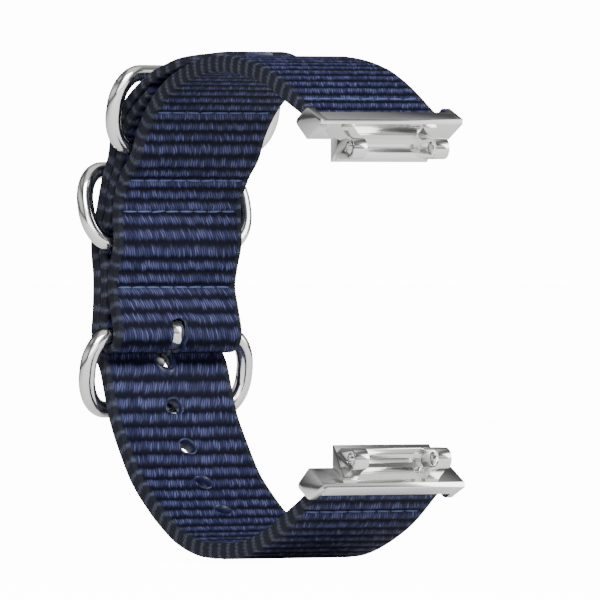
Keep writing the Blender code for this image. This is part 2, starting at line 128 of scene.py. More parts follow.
# Rings: CAD node, body, joint and the direction from the sewn-in bar to the outer one
RINGS = [
    ("buckle_ring", "buckle", "buckle_hinge", (-0.19, -0.982)),
    ("keeper_ring_lower", "lower_keeper", "lower_keeper_hinge", (-0.266, 0.964)),
    ("keeper_ring_upper", "upper_keeper", "upper_keeper_hinge", (0.262, 0.965)),
]


class BandSizes(bpy.types.PropertyGroup):
    """Sizes of the weave, the rings, the stitches and the polished edges."""
    rib_pitch: FloatProperty(name="Rib pitch", description="From one rib of the webbing to the next",
                             default=2.20 * MM, unit="LENGTH")
    short_rib_pitch: FloatProperty(name="Rib pitch, short strap",
                                   description="Rib pitch of the tighter short strap",
                                   default=1.86 * MM, unit="LENGTH")
    rib_depth: FloatProperty(name="Rib depth", description="How far the valleys lie below the ribs",
                             default=0.20 * MM, unit="LENGTH")
    yarn_pitch: FloatProperty(name="Yarn pitch", description="From one face yarn to the next",
                              default=0.34 * MM, unit="LENGTH")
    seam_dent: FloatProperty(name="Seam dent", description="How deep a row of stitches draws the face in",
                             default=0.24 * MM, unit="LENGTH")
    hole_radius: FloatProperty(name="Hole radius", description="Radius of the holes for the tongue",
                               default=1.10 * MM, unit="LENGTH")
    hole_pitch: FloatProperty(name="Hole pitch", description="From one hole to the next",
                              default=6.2 * MM, unit="LENGTH")
    hole_drawn: FloatProperty(name="Hole drawn",
                              description="Half the length the tongue adds to the hole in use",
                              default=0.75 * MM, unit="LENGTH")
    rim_radius: FloatProperty(name="Rim radius",
                              description="Half the thickness of a hole's melted wall",
                              default=0.30 * MM, unit="LENGTH")
    stitch_length: FloatProperty(name="Stitch length", description="Length of one stitch",
                                 default=1.98 * MM, unit="LENGTH")
    thread_radius: FloatProperty(name="Thread radius", description="Radius of the sewing thread",
                                 default=0.13 * MM, unit="LENGTH")
    stitches: IntProperty(name="Stitches", description="Stitches in one row", default=8)
    wire_radius: FloatProperty(name="Wire radius", description="Radius of the rings' round wire",
                               default=1.05 * MM, unit="LENGTH")
    ring_width: FloatProperty(name="Ring width", description="Ring across the band, on its centre line",
                              default=22.8 * MM, unit="LENGTH")
    ring_span: FloatProperty(name="Ring span", description="Between the centre lines of a ring's two bars",
                             default=9.55 * MM, unit="LENGTH")
    ring_corner: FloatProperty(name="Ring corner", description="Rounding of a ring's ends, across the band",
                               default=3.0 * MM, unit="LENGTH")
    ring_rise: FloatProperty(name="Ring corner rise",
                             description="Rounding of a ring's ends, along the band",
                             default=4.4 * MM, unit="LENGTH")
    edge_round: FloatProperty(name="Edge rounding",
                              description="Rounding left on the metal's edges by polishing",
                              default=0.13 * MM, unit="LENGTH")


class BandColours(bpy.types.PropertyGroup):
    """Colours of the yarns with their painted highlights and valley shade, the thread, the metal and the
    studio.
    """
    navy: FloatVectorProperty(name="Navy", description="Body colour of the woven yarn", size=3,
                              default=(0.0030, 0.0044, 0.0205), subtype="COLOR")
    # Painted highlight: the yarn's colour where light catches the top of a rib.
    yarn_highlight: FloatVectorProperty(name="Lit yarn", description="Yarn on top of a rib", size=3,
                                  default=(0.072, 0.080, 0.185), subtype="COLOR")
    # Painted shade: the dark colour laid into the valleys between the ribs.
    valley_shade: FloatVectorProperty(name="Valley", description="Between two ribs", size=3,
                                default=(0.0008, 0.0013, 0.0065), subtype="COLOR")
    selvedge: FloatVectorProperty(name="Selvedge", description="Sides of the webbing", size=3,
                                  default=(0.0080, 0.0092, 0.0150), subtype="COLOR")
    # Painted highlight: the colour of the turned yarn at each rib along the sides.
    selvedge_highlight: FloatVectorProperty(name="Selvedge yarn", size=3,
                                       description="Turned yarns along the sides",
                                       default=(0.044, 0.049, 0.075), subtype="COLOR")
    melted: FloatVectorProperty(name="Melted rim", description="Heat-sealed nylon in the holes", size=3,
                                default=(0.012, 0.016, 0.058), subtype="COLOR")
    thread: FloatVectorProperty(name="Thread", description="Sewing thread", size=3,
                                default=(0.0012, 0.0018, 0.0075), subtype="COLOR")
    polished: FloatVectorProperty(name="Polished metal", description="Rings, tongue and end pieces", size=3,
                                  default=(0.86, 0.86, 0.855), subtype="COLOR")
    pin_steel: FloatVectorProperty(name="Pin steel", description="Spring bars", size=3,
                                   default=(0.56, 0.56, 0.57), subtype="COLOR")
    floor: FloatVectorProperty(name="Floor", description="Studio floor", size=3,
                               default=(0.90, 0.90, 0.90), subtype="COLOR")


# ---------------------------------------------------------------- places and curves

def place(x, depth, height):
    """A point of the side view, x millimetres across, in metres in the frame."""
    return Vector((x, DEPTH_CENTRE - depth, height - HEIGHT_CENTRE)) * MM


def side_point(position):
    """The side-view point (depth, height) of a place in the frame."""
    return (DEPTH_CENTRE - position[1] / MM, position[2] / MM + HEIGHT_CENTRE)


def facing(along):
    """The turn that lays X across the band and Y along the given direction."""
    return Matrix((SIDEWAYS, along, SIDEWAYS.cross(along))).transposed()


def mix(one, two, low, high, position):
    share = (position - low) / (high - low)
    return one * (1.0 - share) + two * share


def barry_goldman(rows, knots, position):
    """One point of a centripetal Catmull-Rom curve between the two middle rows."""
    spans = [(0, 1), (1, 2), (2, 3)]
    first = [mix(rows[i], rows[j], knots[i], knots[j], position) for i, j in spans]
    second = [mix(first[0], first[1], knots[0], knots[2], position),
              mix(first[1], first[2], knots[1], knots[3], position)]
    return mix(second[0], second[1], knots[1], knots[2], position)


def smooth_curve(points, per_span=16):
    """Rows of numbers read along a smooth curve through the given rows."""
    rows = np.array(points, dtype=float)
    rows = np.vstack([2.0 * rows[0] - rows[1], rows, 2.0 * rows[-1] - rows[-2]])
    curve = []
    for index in range(1, len(rows) - 2):
        near = rows[index - 1:index + 3]
        chords = np.linalg.norm(np.diff(near[:, :2], axis=0), axis=1)
        knots = np.concatenate([[0.0], np.cumsum(np.sqrt(chords))])
        for position in np.linspace(knots[1], knots[2], per_span, endpoint=False):
            curve.append(barry_goldman(near, knots, position))
    curve.append(rows[-2])
    return np.array(curve)


def even_steps(curve, step):
    """The curve read again at even steps along its length."""
    lengths = np.linalg.norm(np.diff(curve[:, :2], axis=0), axis=1)
    travelled = np.concatenate([[0.0], np.cumsum(lengths)])
    count = max(2, int(round(travelled[-1] / step)))
    wanted = np.linspace(0.0, travelled[-1], count + 1)
    columns = [np.interp(wanted, travelled, curve[:, k]) for k in range(curve.shape[1])]
    return np.stack(columns, axis=1)


def side_normals(curve):
    """Unit normals of the side-view curve, to the left of its direction."""
    direction = np.gradient(curve[:, :2], axis=0)
    direction /= np.linalg.norm(direction, axis=1)[:, None]
    return np.stack([-direction[:, 1], direction[:, 0]], axis=1)


def short_strap_route():
    """Turned-back layer, fold and main layer as rows of depth, height, thickness, width."""
    bar = side_point(JOINTS["buckle_hinge"]["pos_m"])
    fold = []
    for angle, radius, thickness in FOLD:
        turn = math.radians(angle)
        fold.append((bar[0] + radius * math.cos(turn), bar[1] + radius * math.sin(turn), thickness))
    rows = [(*row, WEBBING_WIDTH) for row in TURNED_BACK + fold + MAIN_LAYER]
    return smooth_curve(rows)


def seam_runs(name):
    """Side-view points where a seam's thread lies on the two faces, and the way between them."""
    centre, lean, stack = SEAMS[name]
    turn = math.radians(lean)
    through = np.array((-math.cos(turn), math.sin(turn)))
    middle = np.array(centre)
    return middle + through * 0.5 * stack, middle - through * 0.5 * stack, through


# ---------------------------------------------------------------- objects and meshes

def add_object(name, mesh, body, stands_for=()):
    """Link a finished mesh as a piece that rides on a body of the frame."""
    piece = bpy.data.objects.new(name, mesh)
    bpy.context.collection.objects.link(piece)
    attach(piece, body)
    if stands_for:
        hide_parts(*stands_for)
    return piece


def evaluated_mesh(helper, name):
    """The helper object's mesh with its modifiers carried out. The helper is removed."""
    bpy.context.view_layer.update()
    depsgraph = bpy.context.evaluated_depsgraph_get()
    mesh = bpy.data.meshes.new_from_object(helper.evaluated_get(depsgraph))
    mesh.name = name
    bpy.data.objects.remove(helper, do_unlink=True)
    return mesh


def helper_object(mesh):
    helper = bpy.data.objects.new("helper", mesh)
    bpy.context.collection.objects.link(helper)
    return helper


def run_nodes(tree, name, values, source=None):
    """A plain mesh from a geometry tree, given the values of its named inputs."""
    mesh = source if source is not None else bpy.data.meshes.new(name)
    helper = helper_object(mesh)
    modifier = helper.modifiers.new("nodes", "NODES")
    modifier.node_group = tree
    for item in tree.interface.items_tree:
        if item.in_out == "INPUT" and item.name in values:
            modifier[item.identifier] = values[item.name]
    return evaluated_mesh(helper, name)


def cut(mesh, tools):
    """The mesh with each closed tool mesh cut out of it."""
    helper = helper_object(mesh)
    cutters = []
    for tool in tools:
        cutter = helper_object(tool)
        step = helper.modifiers.new("cut", "BOOLEAN")
        step.operation = "DIFFERENCE"
        step.solver = "EXACT"
        step.object = cutter
        cutters.append(cutter)
    result = evaluated_mesh(helper, mesh.name)
    for cutter in cutters:
        bpy.data.objects.remove(cutter, do_unlink=True)
    return result


def skin(bm, rings):
    """Quads between neighbouring rings of vertices, and a cap on either end."""
    for one, two in zip(rings, rings[1:]):
        for k in range(len(one)):
            after = (k + 1) % len(one)
            bm.faces.new((one[k], one[after], two[after], two[k]))
    bm.faces.new(rings[0])
    bm.faces.new(list(reversed(rings[-1])))


def closed_mesh(bm, name, smooth_below=40.0):
    bmesh.ops.recalc_face_normals(bm, faces=bm.faces)
    mesh = bpy.data.meshes.new(name)
    bm.to_mesh(mesh)
    bm.free()
    mesh.shade_smooth()
    mesh.set_sharp_from_angle(angle=math.radians(smooth_below))
    return mesh


# ---------------------------------------------------------------- shader building

class Nodes:
    """Short words for adding and linking nodes in one tree."""

    def __init__(self, tree):
        self.tree = tree

    def add(self, kind, inputs=(), **settings):
        node = self.tree.nodes.new(kind)
        for key, value in settings.items():
            setattr(node, key, value)
        for key, value in dict(inputs).items():
            self.feed(node.inputs[key], value)
        return node

    def feed(self, socket, value):
        if isinstance(value, bpy.types.NodeSocket):
            self.tree.links.new(value, socket)
        else:
            socket.default_value = value

    def math(self, operation, one, two=0.0, three=0.0, clamp=False):
        node = self.add("ShaderNodeMath", {0: one, 1: two, 2: three}, operation=operation, use_clamp=clamp)
        return node.outputs[0]

    def blend(self, share, one, two):
        node = self.add("ShaderNodeMix", data_type="RGBA")
        self.feed(node.inputs["Factor"], share)
        self.feed(node.inputs[6], one)
        self.feed(node.inputs[7], two)
        return node.outputs[2]

    def smoothstep(self, value, low, high):
        node = self.add("ShaderNodeMapRange", {"Value": value, "From Min": low, "From Max": high},
                        interpolation_type="SMOOTHSTEP")
        return node.outputs["Result"]

    def noise(self, spot, scale, detail):
        node = self.add("ShaderNodeTexNoise", {"Vector": spot, "Scale": scale, "Detail": detail})
        return node.outputs["Fac"]

    def dot(self, one, two):
        node = self.add("ShaderNodeVectorMath", {0: one, 1: two}, operation="DOT_PRODUCT")
        return node.outputs["Value"]

    def surface(self, shader, colour, roughness, height, strength, distance):
        """Feed a shader's colour, roughness and fine relief."""
        self.feed(shader.inputs["Base Color"], colour)
        self.feed(shader.inputs["Roughness"], roughness)
        bump = self.add("ShaderNodeBump", {"Height": height, "Strength": strength, "Distance": distance})
        self.feed(shader.inputs["Normal"], bump.outputs["Normal"])


def group_tree(name, inputs, outputs):
    """An empty shader group with its sockets, and its two end nodes."""
    tree = bpy.data.node_groups.new(name, "ShaderNodeTree")
    for label, kind, default in inputs:
        socket = tree.interface.new_socket(label, in_out="INPUT", socket_type=kind)
        if default is not None:
            socket.default_value = default
    for label, kind in outputs:
        tree.interface.new_socket(label, in_out="OUTPUT", socket_type=kind)
    nodes = Nodes(tree)
    return nodes, nodes.add("NodeGroupInput"), nodes.add("NodeGroupOutput")


def woven_face_group():
    """Ribs across the webbing, each wrapped by leaning face yarns of uneven tension. Gives the masks for a
    painted highlight on the crests and painted shade in the valleys.
    """
    name = "woven_face"
    if name in bpy.data.node_groups:
        return bpy.data.node_groups[name]
    nodes, given, made = group_tree(
        name,
        [("Place", "NodeSocketVector", None), ("Rib Pitch", "NodeSocketFloat", 1.95),
         ("Yarn Pitch", "NodeSocketFloat", 0.34), ("Lean", "NodeSocketFloat", 1.9)],
        [("Crest", "NodeSocketFloat"), ("Stroke", "NodeSocketFloat"), ("Height", "NodeSocketFloat"),
         ("Patch", "NodeSocketFloat")])
    split = nodes.add("ShaderNodeSeparateXYZ", {0: given.outputs["Place"]})
    wander = nodes.math("MULTIPLY_ADD", nodes.noise(given.outputs["Place"], 0.9, 2.0), 0.5, -0.25)
    across = nodes.math("ADD", split.outputs["X"], wander)
    row = nodes.math("DIVIDE", split.outputs["Y"], given.outputs["Rib Pitch"])
    rib = nodes.math("FLOOR", row)
    phase = nodes.math("FRACT", row)
    lean = nodes.math("MULTIPLY", phase, given.outputs["Lean"])
    yarns = nodes.math("DIVIDE", across, given.outputs["Yarn Pitch"])
    yarns = nodes.math("ADD", yarns, lean)
    yarns = nodes.math("MULTIPLY_ADD", rib, 0.5, yarns)
    number = nodes.math("FLOOR", yarns)
    part = nodes.math("FRACT", yarns)
    key = nodes.add("ShaderNodeCombineXYZ", {0: number, 1: rib})
    chance = nodes.add("ShaderNodeTexWhiteNoise", {"Vector": key.outputs[0]}, noise_dimensions="2D")
    tints = nodes.add("ShaderNodeSeparateColor", {0: chance.outputs["Color"]})
    off_centre = nodes.math("ABSOLUTE", nodes.math("MULTIPLY_ADD", phase, 2.0, -1.0))
    # Crest mask: 1 on the crests and 0 in the valleys, which take the painted shade.
    crest = nodes.math("SUBTRACT", 1.0, nodes.smoothstep(off_centre, 0.25, 0.92))
    slip = nodes.math("MULTIPLY_ADD", tints.outputs[0], 0.20, -0.10)
    slipped = nodes.math("ADD", phase, slip)
    off_middle = nodes.math("ABSOLUTE", nodes.math("MULTIPLY_ADD", slipped, 2.0, -1.0))
    # Where the painted highlight falls: a band along the middle of each rib, shifted a little per yarn.
    lit = nodes.math("SUBTRACT", 1.0, nodes.smoothstep(off_middle, 0.12, 0.84))
    side = nodes.math("MULTIPLY_ADD", part, 2.0, -1.0)
    round_yarn = nodes.math("SQRT", nodes.math("SUBTRACT", 1.0, nodes.math("MULTIPLY", side, side)))
    bright = nodes.math("MULTIPLY_ADD", nodes.math("POWER", tints.outputs[1], 1.3), 0.80, 0.20)
    # Painted highlight stroke on the round top of each yarn, brighter or dimmer at random per yarn.
    highlight_stroke = nodes.math("MULTIPLY", nodes.smoothstep(round_yarn, 0.50, 1.0), bright)
    highlight_stroke = nodes.math("MULTIPLY", highlight_stroke, lit)
    fuzz = nodes.noise(given.outputs["Place"], 5.5, 3.0)
    height = nodes.math("MULTIPLY_ADD", fuzz, 0.25, round_yarn)
    nodes.feed(made.inputs["Crest"], crest)
    nodes.feed(made.inputs["Stroke"], highlight_stroke)
    nodes.feed(made.inputs["Height"], height)
    nodes.feed(made.inputs["Patch"], nodes.noise(given.outputs["Place"], 0.22, 2.0))
    return nodes.tree


def polish_group():
    """Faint uneven polish: hairlines along one direction, and soft smears."""
    name = "polish_marks"
    if name in bpy.data.node_groups:
        return bpy.data.node_groups[name]
    nodes, given, made = group_tree(
        name,
        [("Place", "NodeSocketVector", None), ("Smooth", "NodeSocketFloat", 0.06),
         ("Spread", "NodeSocketFloat", 0.08), ("Stretch", "NodeSocketVector", (200.0, 4000.0, 4000.0))],
        [("Roughness", "NodeSocketFloat"), ("Height", "NodeSocketFloat"), ("Tone", "NodeSocketFloat")])
    stretched = nodes.add("ShaderNodeVectorMath", {0: given.outputs["Place"], 1: given.outputs["Stretch"]},
                          operation="MULTIPLY")
    hair = nodes.noise(stretched.outputs[0], 1.0, 3.0)
    smear = nodes.noise(given.outputs["Place"], 260.0, 2.0)
    rough = nodes.math("MULTIPLY", nodes.smoothstep(smear, 0.35, 0.75), given.outputs["Spread"])
    rough = nodes.math("ADD", rough, given.outputs["Smooth"])
    rough = nodes.math("MULTIPLY_ADD", hair, 0.03, rough)
    nodes.feed(made.inputs["Roughness"], rough)
    nodes.feed(made.inputs["Height"], hair)
    nodes.feed(made.inputs["Tone"], smear)
    return nodes.tree


def new_material(name):
    """A material with its Principled shader and its node words."""
    material = bpy.data.materials.new(name)
    material.use_nodes = True
    nodes = Nodes(material.node_tree)
    return material, nodes, material.node_tree.nodes["Principled BSDF"]


def rgba(colour):
    return (*colour, 1.0)


def webbing_material(sizes, colours):
    """Ribs of navy yarn, with a painted highlight on their crests and painted shade between them."""
    name = "ribbed_nylon"
    if name in bpy.data.materials:
        return bpy.data.materials[name]
    material, nodes, shader = new_material(name)
    place_map = nodes.add("ShaderNodeUVMap", uv_map="weave")
    weave = nodes.add("ShaderNodeGroup", node_tree=woven_face_group())
    nodes.feed(weave.inputs["Place"], place_map.outputs["UV"])
    weave.inputs["Rib Pitch"].default_value = sizes.rib_pitch / MM
    weave.inputs["Yarn Pitch"].default_value = sizes.yarn_pitch / MM
    # Painted shade: the valleys between ribs get a dark colour, the crests navy.
    ground = nodes.blend(weave.outputs["Crest"], rgba(colours.valley_shade), rgba(colours.navy))
    # Painted highlight: the crest strokes get the lit yarn colour.
    lit = nodes.blend(weave.outputs["Stroke"], ground, rgba(colours.yarn_highlight))
    dulled = nodes.math("MULTIPLY_ADD", weave.outputs["Patch"], 0.5, 0.72)
    tone = nodes.add("ShaderNodeHueSaturation", {"Color": lit, "Value": dulled})
    rough = nodes.math("MULTIPLY_ADD", weave.outputs["Stroke"], -0.22, 0.62)
    nodes.surface(shader, tone.outputs["Color"], rough, weave.outputs["Height"], 0.5, 0.05 * MM)
    shader.inputs["Specular IOR Level"].default_value = 0.10
    return material


def selvedge_material(sizes, colours):
    """Sides of the webbing: dark, with a painted highlight on the turned yarn at every rib."""
    name = "selvedge_nylon"
    if name in bpy.data.materials:
        return bpy.data.materials[name]
    material, nodes, shader = new_material(name)
    place_map = nodes.add("ShaderNodeUVMap", uv_map="weave")
    split = nodes.add("ShaderNodeSeparateXYZ", {0: place_map.outputs["UV"]})
    shift = nodes.math("MULTIPLY_ADD", nodes.noise(place_map.outputs["UV"], 2.6, 3.0), 0.5, -0.25)
    row = nodes.math("DIVIDE", split.outputs["Y"], sizes.rib_pitch / MM)
    phase = nodes.math("FRACT", nodes.math("ADD", row, shift))
    off_centre = nodes.math("ABSOLUTE", nodes.math("MULTIPLY_ADD", phase, 2.0, -1.0))
    # Painted highlight stroke at each rib, broken up by the yarn twist.
    highlight_stroke = nodes.math("SUBTRACT", 1.0, nodes.smoothstep(off_centre, 0.05, 0.58))
    slant = nodes.math("MULTIPLY", row, 6.0)
    twist = nodes.math("SINE", nodes.math("MULTIPLY_ADD", split.outputs["X"], 14.0, slant))
    knit = nodes.math("MULTIPLY_ADD", twist, 0.25, 0.75)
    highlight_stroke = nodes.math("MULTIPLY", highlight_stroke, knit)
    colour = nodes.blend(highlight_stroke, rgba(colours.selvedge), rgba(colours.selvedge_highlight))
    rough = nodes.math("MULTIPLY_ADD", highlight_stroke, -0.15, 0.7)
    height = nodes.math("MULTIPLY_ADD", twist, 0.3, highlight_stroke)
    nodes.surface(shader, colour, rough, height, 0.7, 0.15 * MM)
    shader.inputs["Specular IOR Level"].default_value = 0.12
    return material


def melted_material(colours):
    """Heat-sealed nylon: smooth, slightly glossy, with small flow marks."""
    name = "melted_nylon"
    if name in bpy.data.materials:
        return bpy.data.materials[name]
    material, nodes, shader = new_material(name)
    spot = nodes.add("ShaderNodeTexCoord")
    flow = nodes.noise(spot.outputs["Object"], 900.0, 2.0)
    darker = tuple(0.45 * value for value in colours.melted)
    colour = nodes.blend(flow, rgba(darker), rgba(colours.melted))
    nodes.surface(shader, colour, nodes.math("MULTIPLY_ADD", flow, 0.25, 0.22), flow, 0.3, 0.08 * MM)
    return material


def thread_material(colours):
    """Twisted sewing thread."""
    name = "sewing_thread"
    if name in bpy.data.materials:
        return bpy.data.materials[name]
    material, nodes, shader = new_material(name)
    spot = nodes.add("ShaderNodeTexCoord")
    split = nodes.add("ShaderNodeSeparateXYZ", {0: spot.outputs["Object"]})
    around = nodes.math("ADD", split.outputs["Y"], split.outputs["Z"])
    ply = nodes.math("MULTIPLY_ADD", around, 9000.0, nodes.math("MULTIPLY", split.outputs["X"], 14000.0))
    ply = nodes.math("MULTIPLY_ADD", nodes.math("SINE", ply), 0.5, 0.5)
    dark = tuple(0.35 * value for value in colours.thread)
    colour = nodes.blend(ply, rgba(dark), rgba(colours.thread))
    nodes.surface(shader, colour, nodes.math("MULTIPLY_ADD", ply, -0.1, 0.85), ply, 0.6, 0.06 * MM)
    shader.inputs["Specular IOR Level"].default_value = 0.08
    return material


def metal_material(name, colour, smooth, spread, stretch, strength):
    """Metal whose polish varies a little over its surface."""
    if name in bpy.data.materials:
        return bpy.data.materials[name]
    material, nodes, shader = new_material(name)
    spot = nodes.add("ShaderNodeTexCoord")
    polish = nodes.add("ShaderNodeGroup", node_tree=polish_group())
    nodes.feed(polish.inputs["Place"], spot.outputs["Object"])
    polish.inputs["Smooth"].default_value = smooth
    polish.inputs["Spread"].default_value = spread
    polish.inputs["Stretch"].default_value = stretch
    dull = tuple(0.93 * value for value in colour)
    tone = nodes.blend(polish.outputs["Tone"], rgba(colour), rgba(dull))
    nodes.surface(shader, tone, polish.outputs["Roughness"], polish.outputs["Height"], strength, 0.01 * MM)
    shader.inputs["Metallic"].default_value = 1.0
    return material


def polished_metal(colours):
    return metal_material("polished_metal", colours.polished, 0.07, 0.05, (300.0, 3000.0, 3000.0), 0.12)


def pin_steel(colours):
    return metal_material("turned_pin_steel", colours.pin_steel, 0.22, 0.12, (9000.0, 900.0, 900.0), 0.4)


# ---------------------------------------------------------------- webbing

RIB_STEPS = 8
RIB_SHARPNESS = 2.2
FULL_RIB_THICKNESS = 1.4    # thinner webbing has shallower ribs, down to the least share
LEAST_RIB_SHARE = 0.4
DENT_REACH = 0.5            # how far from a row of stitches the face is drawn in
FACE_COLUMNS = 14
EDGE_STEPS = 8
SIDE_ROUNDING = 0.30        # how far the rounded side reaches in, in millimetres
SIDE_BULGE = 0.55           # lower is squarer
SIDE_SINK = 0.35            # share of the rib depth by which the side lies below the crests
SELVEDGE = 0.42             # flat border of each face that belongs to the side, in millimetres
FACE_SLOT = 0               # material slots of the webbing
SIDE_SLOT = 1
MELTED_SLOT = 2
MAP_JUMP = 4.0              # a wider step across the map than this would smear the weave
LOOP_OUTER = 1.13           # radii of the loop round a spring bar, in millimetres
LOOP_BORE = 0.68
LOOP_WALL = 0.92            # where the strap runs into the loop
LOOP_EDGE = 0.25
LOOP_RIBS = 4
LOOP_RIB_SHARE = 0.6        # depth of the loop's ribs as a share of the strap's
LOOP_RIB_SHARPNESS = 0.8
LOOP_STEPS = 40
PIN_STEP = 0.1              # steps along a strap where it is cut off at the loop
PUNCH_STEP = 0.05           # steps along a strap where its holes are measured out
PUNCH_SIDES = 40
RIM_OUTSET = 0.10 * MM      # from a hole's edge to the middle of its melted wall

# Slit for the tongue: half width, heights of its point, shoulders and foot, and its depths
SLIT_HALF = 1.05
SLIT_POINT = -2.35
SLIT_SHOULDER = -2.75
SLIT_FOOT = -7.6
SLIT_DEPTHS = (2.4, -4.6)


def rib_height(travelled, pitch):
    """0 in the valleys between ribs and 1 on their crests."""
    phase = np.mod(travelled / pitch, 1.0)
    return 1.0 - np.abs(2.0 * phase - 1.0) ** RIB_SHARPNESS


def seam_dents(points, names, depth):
    """How far the face is drawn in at each point by the seams' stitches."""
    dents = np.zeros(len(points))
    for name in names:
        for run in seam_runs(name)[:2]:
            away = np.linalg.norm(points - run, axis=1)
            dents = np.maximum(dents, depth * np.exp(-(away / DENT_REACH) ** 2))
    return dents


def side_profile(half, level):
    """The rounded side of the webbing from one face to the other: (x, offset)."""
    points = []
    for k in range(EDGE_STEPS + 1):
        turn = math.pi * (0.5 - k / EDGE_STEPS)
        bulge = abs(math.cos(turn)) ** SIDE_BULGE
        points.append((half - SIDE_ROUNDING + SIDE_ROUNDING * bulge, level * math.sin(turn)))
    return points


def ribbon_section(width, upper, lower, level):
    """One closed section of the webbing: (x, offset, place across). Its sides keep their height."""
    half = 0.5 * width
    flat = half - SIDE_ROUNDING - SELVEDGE
    side = side_profile(half, level)
    points = []
    for k in range(FACE_COLUMNS + 1):
        x = flat * (2.0 * k / FACE_COLUMNS - 1.0)
        points.append((x, upper, x))
    points += [(x, offset, offset) for x, offset in side]
    for k in range(FACE_COLUMNS + 1):
        x = flat * (1.0 - 2.0 * k / FACE_COLUMNS)
        points.append((x, -lower, x))
    points += [(-x, -offset, -offset) for x, offset in side]
    return points


def lay_map(face, weave, across, along):
    """Give a face its place in the weave, across and along the webbing."""
    near, far = across
    low, high = along
    for loop, uv in zip(face.loops, ((near, low), (far, low), (far, high), (near, high))):
        loop[weave].uv = uv


def ribbon_mesh(name, route, sizes, seams, pitch):
    """Woven ribbon along a side-view route, ribbed on both faces, with its weave map."""
    pitch = pitch / MM
    depth = sizes.rib_depth / MM
    stations = even_steps(route, pitch / RIB_STEPS)
    normals = side_normals(stations)
    steps = np.linalg.norm(np.diff(stations[:, :2], axis=0), axis=1)
    travelled = np.concatenate([[0.0], np.cumsum(steps)])
    crests = rib_height(travelled, pitch)
    shares = np.clip(stations[:, 2] / FULL_RIB_THICKNESS, LEAST_RIB_SHARE, 1.0)
    halves = 0.5 * stations[:, 2] - depth * (1.0 - crests) * shares
    dent = sizes.seam_dent / MM
    uppers = halves - seam_dents(stations[:, :2] + normals * halves[:, None], seams, dent)
    lowers = halves - seam_dents(stations[:, :2] - normals * halves[:, None], seams, dent)
    bm = bmesh.new()
    weave = bm.loops.layers.uv.new("weave")
    rings = []
    sections = []
    levels = 0.5 * stations[:, 2] - SIDE_SINK * depth
    map_lengths = travelled * (sizes.rib_pitch / MM / pitch)
    for row, normal, upper, lower, level in zip(stations, normals, uppers, lowers, levels):
        section = ribbon_section(row[3], upper, lower, level)
        sections.append(section)
        ring = []
        for x, offset, across in section:
            ring.append(bm.verts.new(place(x, row[0] + normal[0] * offset, row[1] + normal[1] * offset)))
        rings.append(ring)
    count = len(rings[0])
    sides = [FACE_COLUMNS, FACE_COLUMNS + EDGE_STEPS + 2, 2 * FACE_COLUMNS + EDGE_STEPS + 2]
    for index in range(len(rings) - 1):
        for k in range(count):
            after = (k + 1) % count
            face = bm.faces.new((rings[index][k], rings[index][after], rings[index + 1][after],
                                 rings[index + 1][k]))
            on_side = sides[0] <= k < sides[1] or k >= sides[2]
            face.material_index = SIDE_SLOT if on_side else FACE_SLOT
            near, far = sections[index][k][2], sections[index][after][2]
            if on_side and abs(near - far) > MAP_JUMP:
                near = far = min(near, far, key=abs)
            lay_map(face, weave, (near, far), map_lengths[index:index + 2])
    for ring in (rings[0], rings[-1]):
        cap = bm.faces.new(ring)
        cap.material_index = MELTED_SLOT
    return closed_mesh(bm, name, 60.0)


def loop_mesh(name, pin, sizes):
    """The webbing's end closed round a spring bar: a ribbed tube with a bore."""
    bm = bmesh.new()
    weave = bm.loops.layers.uv.new("weave")
    half = 0.5 * WEBBING_WIDTH
    shoulder = LOOP_OUTER - LOOP_EDGE
    profile = [(-half + LOOP_EDGE, LOOP_OUTER), (half - LOOP_EDGE, LOOP_OUTER), (half, shoulder),
               (half, LOOP_BORE), (-half, LOOP_BORE), (-half, shoulder)]
    rings = []
    for k in range(LOOP_STEPS):
        turn = math.tau * k / LOOP_STEPS
        crest = abs(math.cos(0.5 * LOOP_RIBS * turn)) ** LOOP_RIB_SHARPNESS
        sunk = sizes.rib_depth / MM * LOOP_RIB_SHARE * (1.0 - crest)
        ring = []
        for x, radius in profile:
            reach = radius - sunk if radius == LOOP_OUTER else radius
            spot = place(x, pin[0] + reach * math.cos(turn), pin[1] + reach * math.sin(turn))
            ring.append(bm.verts.new(spot))
        rings.append(ring)
    length = LOOP_RIBS * sizes.rib_pitch / MM
    for k in range(LOOP_STEPS):
        one, two = rings[k], rings[(k + 1) % LOOP_STEPS]
        along = (length * k / LOOP_STEPS, length * (k + 1) / LOOP_STEPS)
        for j in range(len(profile)):
            after = (j + 1) % len(profile)
            face = bm.faces.new((one[j], one[after], two[after], two[j]))
            face.material_index = FACE_SLOT if j in (0, 3) else SIDE_SLOT
            lay_map(face, weave, (profile[j][0], profile[after][0]), along)
    return closed_mesh(bm, name, 60.0)


def before_pin(route, pin):
    """The route up to where it meets the wall of the loop round the pin."""
    full = np.vstack([route, [pin[0], pin[1], route[-1][2], route[-1][3]]])
    fine = even_steps(full, PIN_STEP)
    away = np.linalg.norm(fine[:, :2] - np.array(pin), axis=1)
    return fine[away > LOOP_WALL]


def pin_point(body_joint):
    return side_point(JOINTS[body_joint]["pos_m"])


def three_slots(mesh):
    """Empty material slots, so that a cut keeps the slot of each face."""
    while len(mesh.materials) < 3:
        mesh.materials.append(None)
    return mesh


def prism_tool(near, far):
    """A closed prism between two rings of points. What it cuts gets melted walls."""
    bm = bmesh.new()
    skin(bm, [[bm.verts.new(point) for point in ring] for ring in (near, far)])
    mesh = three_slots(closed_mesh(bm, "prism"))
    for polygon in mesh.polygons:
        polygon.material_index = MELTED_SLOT
    return mesh


def punch_tool(middle, along, across, radius, stretch, reach):
    """A round or stretched punch through the webbing."""
    rings = []
    for end in (-reach, reach):
        ring = []
        for k in range(PUNCH_SIDES):
            turn = math.tau * k / PUNCH_SIDES
            x = SIDEWAYS * math.cos(turn) * radius
            y = along * (math.sin(turn) * radius + math.copysign(stretch, math.sin(turn)))
            ring.append(middle + x + y + across * end)
        rings.append(ring)
    return prism_tool(*rings)


